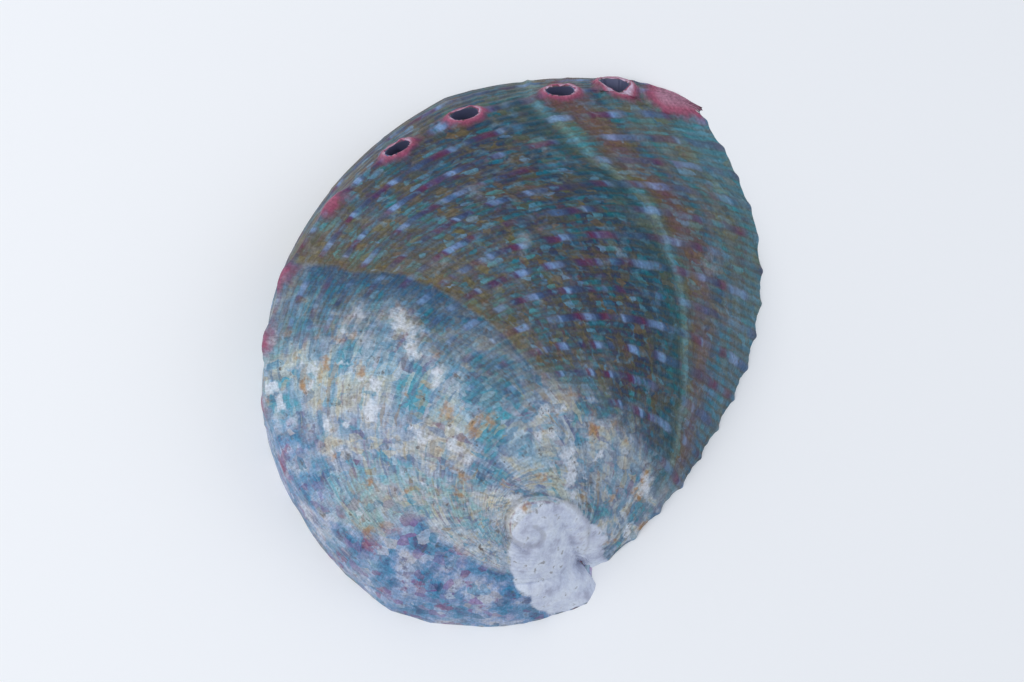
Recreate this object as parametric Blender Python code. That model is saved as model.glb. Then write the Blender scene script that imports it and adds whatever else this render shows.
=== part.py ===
"""Abalone shell, one grown piece, resting mouth down on its rim. Metres, +Z up.

The outside is a strip that winds round the spire. A point on it has a turn, the
angle in degrees grown since it was the lip, and a station, its share of the way
from the suture to the row of holes. The inside is a bowl with the flat shelf that
runs under the row of holes. +Y points to the front, growing end, +X to the lip.
The origin lies under the middle of the shell, on the plane that the rim rests on.
"""

import math

import bmesh
import bpy
import numpy as np
from mathutils import Matrix, Vector
from mathutils.bvhtree import BVHTree

# Driving sizes, in metres
HEIGHT = 0.040
WALL = 0.0024
RIM_WALL = 0.0012
SHELF_WIDTH = 0.0085
SHELF_RISE = 0.0016
HOLE_LENGTH = 0.0080
HOLE_WIDTH = 0.0054
COLLAR = 0.0013
COLLAR_RISE = 0.0009
SPIRE_RISE = 0.0036
SPIRE_RADIUS = 0.0125
SUTURE_DEPTH = 0.0004

# Spiral in plan. Radii are shares of UNIT, which makes the shell 0.150 long. Bearings are
# in degrees.
UNIT = 0.1507
ROW_RADIUS = 0.831
LIP_BEARING = 179.2
SQUASH = ((1.008, 0.069), (0.069, 0.897))
DRIFT = (-0.324, 0.011)
SPIRE_SHIFT = (-0.034, -0.062)
SPIRE_REACH = 0.13
SPIRE_SCALE = 0.10
# The lip from the suture to the row of holes: bearing ahead of the row, share of its radius
LIP_AHEAD = (107.0, 71.0, 42.6, 23.8, 0.0)
LIP_RADIUS = (0.108, 0.172, 0.350, 0.643, 1.0)
ATTACH = 0.82
COVERED_FROM = 115.0
FRONT_DIP = 0.018
SUMMIT = (-0.290, 0.180)
# Sideways shift for each unit of height, and the distance over which height draws the plan in
LEAN = (0.106, -0.184)
DRAW_IN = 0.43
MIDDLE = (-0.268, 0.240)
DOME_POWER = 2.1
DOME_BLEND = math.radians(24)

# Along the row of holes, by turn: height of the row as a share of HEIGHT, width of the side
ROW_TURNS = (1, 9, 18, 33, 60, 90, 130, 165, 200, 230, 252, 264, 270)
ROW_HEIGHTS = (0.0, 0.13, 0.25, 0.39, 0.51, 0.55, 0.53, 0.48, 0.40, 0.31, 0.18, 0.09, 0.0)
SIDE_WIDTHS = (
    0.0015, 0.0030, 0.0052, 0.0080, 0.0032, 0.0004, 0.0042, 0.0112, 0.0092, 0.0084, 0.0108, 0.0096, 0.0,
)
SHELF_SHARES = (0.0, 0.15, 0.55, 0.95, 1.0, 1.0, 1.0, 1.0, 0.85, 0.6, 0.3, 0.1, 0.0)
CORNER_TURN = 1.0
LIP_BULGE = 1.3
LIP_SHOULDER = 1.4
LIP_TAIL = 17.0
# Each open hole: turn, tilt away from upright in degrees, how far out from the row
OPEN_HOLES = ((10.2, 50.0, 0.0010), (17.4, 32.0, 0.0), (31.4, 32.0, 0.0), (43.2, 32.0, 0.0))

# Mesh
ROWS = 48
STATIONS = 18
SIDE_ROWS = 5
SPIRE_ROWS = 44
BOWL_RINGS = 14


def curve(values, share):
    """Value a share of the way along evenly spaced values, on a smooth curve."""
    slopes = np.gradient(np.asarray(values, float))
    at = min(max(share, 0.0), 1.0) * (len(values) - 1)
    i = min(int(at), len(values) - 2)
    f = at - i
    return (
        (2 * f**3 - 3 * f**2 + 1) * values[i]
        + (f**3 - 2 * f**2 + f) * slopes[i]
        + (3 * f**2 - 2 * f**3) * values[i + 1]
        + (f**3 - f**2) * slopes[i + 1]
    )


def lip_log_radius(station):
    return curve([math.log(r) for r in LIP_RADIUS], station)


# The suture of the lip lies on the strip one coil earlier, at station ATTACH
COIL = 360.0 + curve(LIP_AHEAD, ATTACH) - LIP_AHEAD[0]
GROWTH = (lip_log_radius(ATTACH) - lip_log_radius(0.0)) / math.radians(COIL)


def plan(turn, station):
    """Plan position of a turn and station."""
    radius = ROW_RADIUS * math.exp(lip_log_radius(station) - GROWTH * math.radians(turn))
    bearing = math.radians(LIP_BEARING - turn + curve(LIP_AHEAD, station))
    share = radius / SPIRE_SCALE
    # The first whorls widen more slowly than the later ones
    radius = SPIRE_SCALE * (share**3 + 0.9**3 * share**1.5) ** (1 / 3)
    out = -math.sin(bearing), -math.cos(bearing)
    shift = math.exp(-((radius / SPIRE_REACH) ** 1.5))
    return Vector(
        UNIT * (shift * SPIRE_SHIFT[k]
                + radius * (out[0] * SQUASH[0][k] + out[1] * SQUASH[1][k] + DRIFT[k]))
        for k in range(2)
    )


def along(turn, values):
    return float(np.interp(turn, ROW_TURNS, values))


def last_station(turn):
    """The row of holes is covered, coil over coil, towards the end of the strip."""
    covered = min(max((turn - COVERED_FROM) / (COIL - COVERED_FROM), 0.0), 1.0)
    front = max(1.0 - turn / 9.0, 0.0)
    return 1.0 - (1.0 - ATTACH) * covered * covered * (3 - 2 * covered) - FRONT_DIP * front**2


def lip_turn(station, row):
    """The lip bows forward, and falls back to a rounded corner at the row of holes."""
    share = min(max((station - 0.80) / 0.18, 0.0), 1.0)
    bow = LIP_BULGE * 4 * station * (1 - station)
    bow += LIP_SHOULDER * math.exp(-(((station - 0.88) / 0.09) ** 2))
    near = station / 0.11
    bow += LIP_TAIL * (near * math.exp(1 - near)) ** 2
    return (CORNER_TURN * share * share - bow) * max(1.0 - row / 6.0, 0.0)


def edge():
    """Bearing round the summit, distance from it and height of the lip and the row of holes."""
    front = last_station(0.0)
    points = [(plan(lip_turn(front * k / 60, 0), front * k / 60), 0.0) for k in range(60)]
    for k in range(240):
        turn = CORNER_TURN + (COIL - CORNER_TURN) * k / 240
        points.append((plan(turn, last_station(turn)), HEIGHT * along(turn, ROW_HEIGHTS)))
    rows = []
    for point, z in points:
        arm = point - SUMMIT_POINT
        rows.append((math.atan2(arm.y, arm.x), arm.length, z))
    rows = np.array(sorted(rows))
    bearings = np.radians(np.arange(-180.0, 180.0, 2.0))
    reach, low = (np.interp(bearings, rows[:, 0], rows[:, k], period=math.tau) for k in (1, 2))
    gap = np.abs(bearings[:, None] - bearings)
    weight = np.exp(-((np.minimum(gap, math.tau - gap) / DOME_BLEND) ** 2))
    weight /= weight.sum(axis=1, keepdims=True)
    return bearings, reach, low, weight @ reach, weight @ low


def spread(bearing, values):
    return float(np.interp(bearing, EDGE[0], values, period=math.tau))


SUMMIT_POINT = Vector(UNIT * c for c in SUMMIT)
APEX_POINT = Vector(UNIT * c for c in SPIRE_SHIFT)
EDGE = edge()


def dome(point):
    """Height of the outside above a plan position inside the row of holes and the lip."""
    arm = point - SUMMIT_POINT
    bearing = math.atan2(arm.y, arm.x)
    reach, low, even_reach, even_low = (spread(bearing, values) for values in EDGE[1:])

    def even(distance):
        share = min(distance / even_reach, 1.0)
        return even_low + (HEIGHT - even_low) * (1 - share**DOME_POWER) ** 0.92

    # An even dome, drawn down or up to the true edge close to it
    share = min(arm.length / reach, 1.0)
    z = even(arm.length) + (low - even(reach)) * share**7
    near = (point - APEX_POINT).length / SPIRE_RADIUS
    fade = min((1.0 - share) * 5.0, 1.0)
    return z + SPIRE_RISE * fade * math.exp(-(near**2.4))


def settle(coords):
    """The real place of points given by plan position and height."""
    settled = []
    for x, y, z in coords:
        point = [UNIT * m + (c - UNIT * m) * (1 - z / DRAW_IN) + z * tilt
                 for c, m, tilt in zip((x, y), MIDDLE, LEAN)]
        settled.append((point[0], point[1], z))
    return settled


def outside():
    """Coordinates, faces and the loop of the outer sheet."""
    coords, faces = [], []
    strip = []
    rows = ROWS + SPIRE_ROWS
    for j in range(rows + 1):
        turn = COIL * j / ROWS
        end = last_station(turn)
        line = []
        for i in range(STATIONS + 1):
            if i == STATIONS and j >= ROWS:
                line.append(strip[j - ROWS][0])  # the suture of the next coil
                continue
            station = end * i / STATIONS
            point = plan(turn + lip_turn(station, j), station)
            z = 0.0 if j == 0 else dome(point)
            if i == 0 and j:
                z -= SUTURE_DEPTH
            line.append(len(coords))
            coords.append((point.x, point.y, max(z, 0.0)))
        strip.append(line)
    for j in range(rows):
        for i in range(STATIONS):
            faces.append((strip[j][i], strip[j][i + 1], strip[j + 1][i + 1], strip[j + 1][i]))
    # Fan over the tip of the spire
    ring = [strip[j][0] for j in range(rows - ROWS, rows + 1)] + strip[rows][1:-1]
    tip = len(coords)
    middle = np.mean([coords[v] for v in ring], axis=0)
    coords.append((middle[0], middle[1], middle[2] + 0.0004))
    for a, b in zip(ring, ring[1:] + ring[:1]):
        faces.append((a, b, tip))
    # The side below the row of holes
    side = []
    top = [Vector(coords[strip[j][STATIONS]][:2]) for j in range(ROWS + 1)]
    for j in range(ROWS + 1):
        turn = COIL * j / ROWS + lip_turn(1.0, j)
        if j == ROWS:
            side.append([strip[j][STATIONS]] * (SIDE_ROWS + 1))
            continue
        tangent = top[min(j + 1, ROWS)] - top[max(j - 1, 0)]
        out = Vector((tangent.y, -tangent.x)).normalized()
        if out.dot(top[j] - SUMMIT_POINT) < 0:
            out = -out
        width = along(turn, SIDE_WIDTHS)
        height = coords[strip[j][STATIONS]][2]
        line = [strip[j][STATIONS]]
        for k in range(1, SIDE_ROWS + 1):
            share = k / SIDE_ROWS
            point = top[j] + out * width * share**0.8
            z = height * (1 - share**1.3) if j else 0.0
            line.append(len(coords))
            coords.append((point.x, point.y, z))
        side.append(line)
    for j in range(ROWS):
        for k in range(SIDE_ROWS):
            face = (side[j][k], side[j][k + 1], side[j + 1][k + 1], side[j + 1][k])
            faces.append(tuple(dict.fromkeys(face)))
    loop = strip[0][:-1] + side[0] + [side[j][-1] for j in range(1, ROWS)]
    turns = [0.0] * (STATIONS + SIDE_ROWS + 1) + [COIL * j / ROWS for j in range(1, ROWS)]
    return settle(coords), [f for f in faces if len(f) > 2], loop, turns


def shell():
    """The closed body: outer sheet, flat rim and the bowl inside."""
    coords, faces, loop, turns = outside()
    tree = BVHTree.FromPolygons([Vector(c) for c in coords], faces)
    centre = Vector(settle([(SUMMIT_POINT.x, SUMMIT_POINT.y, HEIGHT)])[0][:2])
    count = len(loop)
    rim = [Vector(coords[v][:2]) for v in loop]
    rings = [loop]
    inner_rim = []
    for n in range(count):
        tangent = rim[(n + 1) % count] - rim[n - 1]
        inward = Vector((-tangent.y, tangent.x)).normalized()
        if inward.dot(centre - rim[n]) < 0:
            inward = -inward
        inner_rim.append(rim[n] + inward * RIM_WALL)
    for r in range(BOWL_RINGS):
        share = r / BOWL_RINGS
        line = []
        for n in range(count):
            start = inner_rim[n]
            run = (centre - start).length
            shelf = SHELF_WIDTH * along(turns[n], SHELF_SHARES)
            # The first rings are the shelf and its edge, the others the bowl
            stops = (0.0, shelf * 0.55 + 0.0008, shelf + 0.0018, shelf + 0.0030)
            if r < 4:
                gone = stops[r]
            else:
                gone = stops[3] + (run - stops[3]) * ((r - 3) / (BOWL_RINGS - 3)) ** 1.15
            point = start.lerp(centre, gone / run)
            z = 0.0
            if r:
                z = roof(tree, point) - WALL * 1.12
                ledge = SHELF_RISE * min(gone / (shelf + 0.001), 1.0)
                z = min(z, ledge + 6.0 * max(gone - shelf, 0.0))
                z = max(z, 0.0004 * r)
            line.append(len(coords))
            coords.append((point.x, point.y, z))
        rings.append(line)
    for outer, inner in zip(rings, rings[1:]):
        for n in range(count):
            m = (n + 1) % count
            faces.append((outer[m], outer[n], inner[n], inner[m]))
    tip = len(coords)
    coords.append((centre.x, centre.y, HEIGHT - WALL * 1.12))
    for n in range(count):
        faces.append((rings[-1][(n + 1) % count], rings[-1][n], tip))
    return coords, faces


def roof(tree, point):
    """Height of the outer sheet over a plan position, the lowest within the wall thickness."""
    low = HEIGHT
    for x, y in ((0, 0), (WALL, 0), (-WALL, 0), (0, WALL), (0, -WALL)):
        hit = tree.ray_cast(Vector((point.x + x, point.y + y, 1.0)), Vector((0, 0, -1)))
        low = min(low, hit[0].z if hit[0] else 0.0)
    return low


def row_frame(turn, tilt, outset):
    """Matrix at the row of holes: X along the row, Z out of the shell."""
    here, ahead = plan(turn, 1.0), plan(max(turn - 2.0, 0.0), 1.0)
    if turn < 2.0:
        ahead = here + (here - plan(2.0, 1.0))
    along_row = Vector((ahead.x - here.x, ahead.y - here.y, 0.0)).normalized()
    out = Vector((here.x - SUMMIT_POINT.x, here.y - SUMMIT_POINT.y, 0.0))
    out = (out - along_row * out.dot(along_row)).normalized()
    tilt = math.radians(tilt)
    axis = (out * math.sin(tilt) + Vector((0, 0, math.cos(tilt)))).normalized()
    across = axis.cross(along_row).normalized()
    place = Matrix((along_row, across, axis)).transposed().to_4x4()
    here += out.xy * outset
    z = HEIGHT * along(turn, ROW_HEIGHTS) * (1 - 150 * outset)
    place.translation = Vector(settle([(here.x, here.y, z)])[0])
    return place


def tapered(name, hole, low, high, length, width, taper):
    """Oval stub at the row of holes, from low to high along the row's outward axis."""
    bpy.ops.mesh.primitive_cone_add(
        vertices=20, radius1=0.5 * (1 + taper), radius2=0.5, depth=high - low, location=(0, 0, 0)
    )
    obj = bpy.context.object
    obj.name = name
    shape = Matrix.Diagonal((length, width, 1.0, 1.0))
    lift = Matrix.Translation((0, 0, (low + high) / 2))
    obj.data.transform(row_frame(*hole) @ lift @ shape)
    obj.location = to_origin
    for collection in list(obj.users_collection):
        collection.objects.unlink(obj)
    cutters.objects.link(obj)
    return obj


def combine(body, tool, operation):
    modifier = body.modifiers.new(tool.name, "BOOLEAN")
    modifier.operation = operation
    modifier.solver = "EXACT"
    modifier.object = tool
    tool.hide_render = True
    tool.display_type = "WIRE"


for old in list(bpy.data.objects):
    bpy.data.objects.remove(old, do_unlink=True)
for old in list(bpy.data.collections):
    bpy.data.collections.remove(old)

part = bpy.data.collections.new("abalone_shell_part")
cutters = bpy.data.collections.new("cutters")
bpy.context.scene.collection.children.link(part)
bpy.context.scene.collection.children.link(cutters)

coords, faces = shell()
mesh = bpy.data.meshes.new("abalone_shell")
mesh.from_pydata(coords, [], faces)
work = bmesh.new()
work.from_mesh(mesh)
bmesh.ops.recalc_face_normals(work, faces=work.faces)
work.to_mesh(mesh)
work.free()
mesh.shade_smooth()
body = bpy.data.objects.new("abalone_shell", mesh)
part.objects.link(body)

ends = np.array([np.min(coords, axis=0), np.max(coords, axis=0)])
to_origin = (-ends[:, 0].mean(), -ends[:, 1].mean(), 0.0)
body.location = to_origin

for number, hole in enumerate(OPEN_HOLES, 1):
    collar = tapered(f"collar_{number}", hole, -0.0016, COLLAR_RISE,
                     HOLE_LENGTH + 2 * COLLAR, HOLE_WIDTH + 2 * COLLAR, 0.35)
    combine(body, collar, "UNION")
for number, hole in enumerate(OPEN_HOLES, 1):
    bore = tapered(f"bore_{number}", hole, -0.012, 0.006, HOLE_LENGTH, HOLE_WIDTH, 0.0)
    combine(body, bore, "DIFFERENCE")

paint = bpy.data.materials.new("shell")
paint.use_nodes = True
surface = paint.node_tree.nodes["Principled BSDF"]
surface.inputs["Base Color"].default_value = (0.20, 0.24, 0.24, 1.0)
surface.inputs["Roughness"].default_value = 0.5
mesh.materials.append(paint)
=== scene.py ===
# Abalone shell lying mouth down on a pale floor, seen from above.
# The outer sheet is a strip that winds round the spire. A place on it has a turn, the degrees
# grown since it was the lip, and a station, its share of the way from suture to row of holes.
import math

import bpy
import numpy as np
from mathutils import Matrix, Vector, noise
from mathutils.bvhtree import BVHTree


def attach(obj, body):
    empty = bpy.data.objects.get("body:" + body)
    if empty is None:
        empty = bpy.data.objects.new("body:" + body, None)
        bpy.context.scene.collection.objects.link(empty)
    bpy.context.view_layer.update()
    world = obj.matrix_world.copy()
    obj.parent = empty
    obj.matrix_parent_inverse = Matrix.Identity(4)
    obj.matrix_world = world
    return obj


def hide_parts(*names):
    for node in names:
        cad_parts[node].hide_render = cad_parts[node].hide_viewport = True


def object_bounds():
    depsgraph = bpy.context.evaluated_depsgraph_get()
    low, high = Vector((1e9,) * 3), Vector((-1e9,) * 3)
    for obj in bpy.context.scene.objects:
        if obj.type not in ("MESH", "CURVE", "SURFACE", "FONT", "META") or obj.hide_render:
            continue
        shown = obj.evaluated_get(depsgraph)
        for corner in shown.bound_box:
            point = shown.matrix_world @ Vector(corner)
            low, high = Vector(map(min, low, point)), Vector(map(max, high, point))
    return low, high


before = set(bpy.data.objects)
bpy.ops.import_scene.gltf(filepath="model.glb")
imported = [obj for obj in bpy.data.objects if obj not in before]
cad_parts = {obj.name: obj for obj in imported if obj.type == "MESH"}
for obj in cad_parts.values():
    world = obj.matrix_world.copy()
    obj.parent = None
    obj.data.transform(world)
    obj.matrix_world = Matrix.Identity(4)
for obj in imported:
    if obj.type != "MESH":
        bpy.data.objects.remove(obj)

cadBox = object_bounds()

# The coil in plan and the dome over it, sizes in metres
coil = {
    "unit": 0.1507,
    "rowRadius": 0.831,  # radius of the row of holes at the lip, in units
    "lipBearing": 179.2,
    "squash": ((1.008, 0.069), (0.069, 0.897)),
    "drift": (-0.324, 0.011),
    "spireShift": (-0.034, -0.062),
    "spireReach": 0.13,
    "spireScale": 0.10,
    "lipAhead": (107.0, 71.0, 42.6, 23.8, 0.0),  # degrees ahead of the holes, from the suture out
    "lipRadius": (0.108, 0.172, 0.350, 0.643, 1.0),
    "attach": 0.82,  # where the next coil sits on this one
    "coveredFrom": 115.0,
    "frontDip": 0.018,
    "cornerTurn": 1.0,
    "lipBulge": 1.3,
    "height": 0.040,
    "summit": (-0.290, 0.180),
    "domePower": 2.1,
    "domeBlend": 24.0,
    "lean": (0.106, -0.184),
    "drawIn": 0.43,
    "middle": (-0.268, 0.240),
    "lipShoulder": 1.4,
    "lipTail": 17.0,
    "rowTurns": (1, 9, 18, 33, 60, 90, 130, 165, 200, 230, 252, 264, 270),
    "rowHeights": (0.0, 0.13, 0.25, 0.39, 0.51, 0.55, 0.53, 0.48, 0.40, 0.31, 0.18, 0.09, 0.0),
    "sideWidths": (0.0015, 0.0030, 0.0052, 0.0080, 0.0032, 0.0004, 0.0042, 0.0112, 0.0092, 0.0084,
                   0.0094, 0.0074, 0.0),
}


def curveAt(values, share):
    # Smooth curve through evenly spaced values
    values = np.asarray(values, float)
    slopes = np.gradient(values)
    at = np.clip(np.asarray(share, float), 0.0, 1.0) * (len(values) - 1)
    i = np.minimum(at.astype(int), len(values) - 2)
    f = at - i
    return ((2 * f**3 - 3 * f**2 + 1) * values[i] + (f**3 - 2 * f**2 + f) * slopes[i]
            + (3 * f**2 - 2 * f**3) * values[i + 1] + (f**3 - f**2) * slopes[i + 1])


def smooth(share):
    share = np.clip(share, 0.0, 1.0)
    return share * share * (3 - 2 * share)


logRadius = np.log(coil["lipRadius"])
coilTurn = 360.0 + float(curveAt(coil["lipAhead"], coil["attach"])) - coil["lipAhead"][0]
widening = float(curveAt(logRadius, coil["attach"]) - logRadius[0]) / math.radians(coilTurn)


def planAt(turn, station):
    turn, station = np.asarray(turn, float), np.asarray(station, float)
    radius = coil["rowRadius"] * np.exp(curveAt(logRadius, station) - widening * np.radians(turn))
    bearing = np.radians(coil["lipBearing"] - turn + curveAt(coil["lipAhead"], station))
    share = radius / coil["spireScale"]
    radius = coil["spireScale"] * (share**3 + 0.9**3 * share**1.5) ** (1 / 3)
    outX, outY = -np.sin(bearing), -np.cos(bearing)
    shift = np.exp(-((radius / coil["spireReach"]) ** 1.5))
    return np.stack([
        coil["unit"] * (shift * coil["spireShift"][k]
                        + radius * (outX * coil["squash"][0][k] + outY * coil["squash"][1][k]
                                    + coil["drift"][k]))
        for k in (0, 1)], -1)


def along(turn, key):
    return np.interp(turn, coil["rowTurns"], coil[key])


def lastStation(turn):
    covered = smooth((turn - coil["coveredFrom"]) / (coilTurn - coil["coveredFrom"]))
    front = np.maximum(1.0 - turn / 9.0, 0.0)
    return 1.0 - (1.0 - coil["attach"]) * covered - coil["frontDip"] * front**2


def lipTurn(station, turn):
    share = np.clip((station - 0.80) / 0.18, 0.0, 1.0)
    bow = coil["lipBulge"] * 4 * station * (1 - station)
    bow = bow + coil["lipShoulder"] * np.exp(-(((station - 0.88) / 0.09) ** 2))
    near = station / 0.11
    bow = bow + coil["lipTail"] * (near * np.exp(1 - near)) ** 2
    return (coil["cornerTurn"] * share**2 - bow) * np.maximum(1.0 - turn / 33.8, 0.0)


summitPoint = coil["unit"] * np.array(coil["summit"])
apexPoint = coil["unit"] * np.array(coil["spireShift"])


def domeEdge():
    front = float(lastStation(0.0))
    station = front * np.arange(60) / 60
    lip = planAt(lipTurn(station, 0.0), station)
    turn = coil["cornerTurn"] + (coilTurn - coil["cornerTurn"]) * np.arange(240) / 240
    row = planAt(turn, lastStation(turn))
    arm = np.concatenate([lip, row]) - summitPoint
    low = np.concatenate([np.zeros(60), coil["height"] * along(turn, "rowHeights")])
    order = np.argsort(np.arctan2(arm[:, 1], arm[:, 0]))
    angle = np.arctan2(arm[:, 1], arm[:, 0])[order]
    bearings = np.radians(np.arange(-180.0, 180.0, 2.0))
    reach = np.interp(bearings, angle, np.hypot(arm[:, 0], arm[:, 1])[order], period=math.tau)
    low = np.interp(bearings, angle, low[order], period=math.tau)
    gap = np.abs(bearings[:, None] - bearings)
    weight = np.exp(-((np.minimum(gap, math.tau - gap) / math.radians(coil["domeBlend"])) ** 2))
    weight /= weight.sum(axis=1, keepdims=True)
    return bearings, reach, low, weight @ reach, weight @ low


edge = domeEdge()
spire = {
    "rise": 0.0036,
    "radius": 0.0125,
    "groove": 0.0005,
    "grooveWidth": 0.0009,
    "grooveReach": 0.022,
    "rings": 26,
    "bareShift": (0.0084, 0.0006),  # middle of the bare white patch, from the apex
    "bareRadius": 0.0146,
}


def domeAt(point):
    arm = point - summitPoint
    distance = np.hypot(arm[..., 0], arm[..., 1])
    bearing = np.arctan2(arm[..., 1], arm[..., 0])
    reach, low, evenReach, evenLow = (
        np.interp(bearing, edge[0], values, period=math.tau) for values in edge[1:])

    def even(run):
        share = np.minimum(run / evenReach, 1.0)
        return evenLow + (coil["height"] - evenLow) * (1 - share ** coil["domePower"]) ** 0.92

    share = np.minimum(distance / reach, 1.0)
    z = even(distance) + (low - even(reach)) * share**7
    near = np.hypot(*(point - apexPoint).T).T / spire["radius"]
    fade = np.minimum((1.0 - share) * 5.0, 1.0)
    return z + spire["rise"] * fade * np.exp(-(near**2.4))


def settle(point):
    # Height leans the shell towards its spire and draws it in
    z = point[..., 2:]
    middle = coil["unit"] * np.array(coil["middle"])
    drawn = (point[..., :2] - middle) * (1 - z / coil["drawIn"])
    plan = middle + drawn + z * np.array(coil["lean"])
    return np.concatenate([plan, z], -1)


# Relief of the outer face, sizes in metres
relief = {
    "cords": 17,  # strong cords from the suture to the row of holes
    "cordHeight": 0.00042,
    "fineHeight": 0.00016,
    "lipScallop": 0.00055,
    # Where growth paused: turn, rise
    "rests": ((2.0, 0.00016), (3.6, 0.00020), (5.2, 0.00016), (7.6, 0.00022), (11.5, 0.00018),
              (16.8, 0.00046), (25.0, 0.00014), (40.0, 0.00016), (52.0, 0.00014), (67.5, 0.00048),
              (78.0, 0.00018), (92.0, 0.00022), (108.0, 0.00020), (131.0, 0.00050), (150.0, 0.00024)),
    "restWidth": 0.45,  # degrees
    "lumps": 0.00040,
    "lumpSize": 0.013,
    # How far old lips stood from the turn lines: strong cord, degrees
    "lag": ((0.0, -12.0), (3.6, -10.0), (5.1, -5.8), (7.0, -2.6), (9.2, -0.8), (12.3, 0.0),
            (14.0, 3.0), (17.0, 4.2)),
}
holes = {
    # Turn, tilt, how far out from the row
    "open": ((10.2, 50.0, 0.0010), (17.4, 32.0, 0.0), (31.4, 32.0, 0.0), (43.2, 32.0, 0.0)),
    "closed": ((58.0, 32.0, 0.0), (75.5, 32.0, 0.0), (90.0, 40.0, 0.0), (104.5, 45.0, 0.0010),
               (121.0, 45.0, 0.0012)),
    "length": 0.0078,
    "width": 0.0052,
    "lip": 0.0011,
}
meshSteps = {
    "lip": 256,
    "turns": ((0, 5, 14), (5, 48, 112), (48, 110, 62), (110, coilTurn, 53)),  # closest at the holes
    "side": 14,
    "bowlRings": 38,
}

lipStations = np.linspace(0.0, 1.0, 800)
lipPlan = planAt(lipTurn(lipStations, 0.0), lipStations)
lipLength = np.concatenate([[0.0], np.cumsum(np.hypot(*np.diff(lipPlan, axis=0).T))])
lipLength /= lipLength[-1]


def stationOf(share):
    return np.interp(share, lipLength, lipStations)


def noiseAt(points, size, seed, octaves=2):
    # Soft noise of about -1 to 1 at points in metres, with lumps of the given size
    return np.array([noise.fractal(Vector((x / size, y / size, z / size + seed)), 0.9, 2.0, octaves)
                     for x, y, z in points.reshape(-1, 3)]).reshape(points.shape[:-1])


def surfaceNormals(points):
    downRow = np.gradient(points, axis=0)
    acrossRow = np.gradient(points, axis=1)
    normal = np.cross(acrossRow, downRow)
    normal /= np.maximum(np.linalg.norm(normal, axis=-1, keepdims=True), 1e-12)
    return np.where(normal[..., 2:] < -0.2, -normal, normal)


print("coil turn", round(coilTurn, 2), "widening", round(widening, 4))

# Outer strip: rows are turns, columns run from the suture out
turns = np.concatenate([np.linspace(first, last, rows, endpoint=last == coilTurn)
                        for first, last, rows in meshSteps["turns"]])
lipShare = np.linspace(0.0, 1.0, meshSteps["lip"] + 1)
turnGrid, shareGrid = np.meshgrid(turns, lipShare, indexing="ij")
lastShare = np.interp(lastStation(turns), lipStations, lipLength)
cordGrid = shareGrid * lastShare[:, None]
stationGrid = stationOf(cordGrid)
strip = planAt(turnGrid + lipTurn(stationGrid, turnGrid), stationGrid)
sutureTurns = np.linspace(0, 560, 700)
sutureCurve = planAt(sutureTurns, np.zeros(700))
sutureDepth = np.interp(sutureTurns, [0, 40, 460, 560], [0.4, 1.0, 1.0, 0.0])


def grooveAt(plan):
    # Depth of the spiral seam, near the spire
    depth = np.zeros(plan.shape[:-1])
    near = np.hypot(*(plan - apexPoint).T).T < spire["grooveReach"]
    gap = np.linalg.norm(plan[near][:, None] - sutureCurve, axis=-1)
    nearest = gap.argmin(axis=1)
    gap = gap[np.arange(len(gap)), nearest]
    depth[near] = sutureDepth[nearest] * (
        spire["groove"] * np.exp(-((gap / spire["grooveWidth"]) ** 2))
        + 0.5 * spire["groove"] * np.exp(-gap / (3.5 * spire["grooveWidth"])))
    return depth


seamDepth = grooveAt(strip)
stripZ = domeAt(strip) - seamDepth
stripZ[0] = 0.0
strip = np.concatenate([strip, np.maximum(stripZ, 0.0)[..., None]], -1)

# Side below the row of holes
top = strip[:, -1]
tangent = np.gradient(top[:, :2], axis=0)
outward = np.stack([tangent[:, 1], -tangent[:, 0]], -1)
outward /= np.linalg.norm(outward, axis=1, keepdims=True)
outward *= np.where((outward * (top[:, :2] - summitPoint)).sum(1) < 0, -1.0, 1.0)[:, None]
sideShare = np.linspace(0.0, 1.0, meshSteps["side"] + 1)[1:]
width = along(turns, "sideWidths")
side = np.zeros((len(turns), len(sideShare), 3))
side[..., :2] = top[:, None, :2] + outward[:, None] * (width[:, None] * sideShare**0.8)[..., None]
side[..., 2] = top[:, 2:] * (1 - sideShare**1.3)
side[0, :, 2] = 0.0
side[-1] = top[-1]
strip = settle(np.concatenate([strip, side], axis=1))
sideCords = lastShare[:, None] + 0.012 * meshSteps["side"] / 2 * sideShare[None]
cordGrid = np.concatenate([cordGrid, sideCords], 1)
turnGrid = np.repeat(turns[:, None], strip.shape[1], axis=1)
smoothStrip = strip.copy()


def growthLag(turn, cord):
    # Old lips stood ahead of the turn lines near the row and behind them near the suture
    young = np.interp(cord, *zip(*relief["lag"]))
    old = 1.2 * np.maximum(12.7 - cord, 0.0)
    return young * smooth((125 - turn) / 60) + old * smooth((turn - 85) / 50)


# Cords, growth rests and lumps
cordIndex = cordGrid * relief["cords"]
wobble = noiseAt(strip, 0.020, 3.1)
strong = np.exp(-((((cordIndex + 0.5) % 1.0 - 0.5) / 0.17) ** 2))
fine = 0.5 + 0.5 * np.cos(math.tau * cordIndex * 4)
growthTurn = turnGrid - growthLag(turnGrid, cordIndex)
ringTurn = growthTurn + 0.5 * wobble
worn = smooth((growthTurn + 5 * wobble - 62) / 50)
settledApex = settle(np.array([*apexPoint, 0.03]))[:2]
apexGap = np.hypot(strip[..., 0] - settledApex[0], strip[..., 1] - settledApex[1])
worn = np.maximum(worn, smooth(1.7 - apexGap / 0.028))
height = (1 - 0.62 * worn) * (relief["cordHeight"] * strong * (0.75 + 0.35 * wobble)
                              + relief["fineHeight"] * fine)
for turn, rise in relief["rests"]:
    gap = ringTurn - turn
    height += (rise * np.exp(-((gap / relief["restWidth"]) ** 2))
               - 0.6 * rise * smooth(1 - gap / 2.2) * (gap > 0))
height += relief["lumps"] * noiseAt(strip, relief["lumpSize"], 8.7, 3) * (0.45 + 0.75 * worn)

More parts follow.
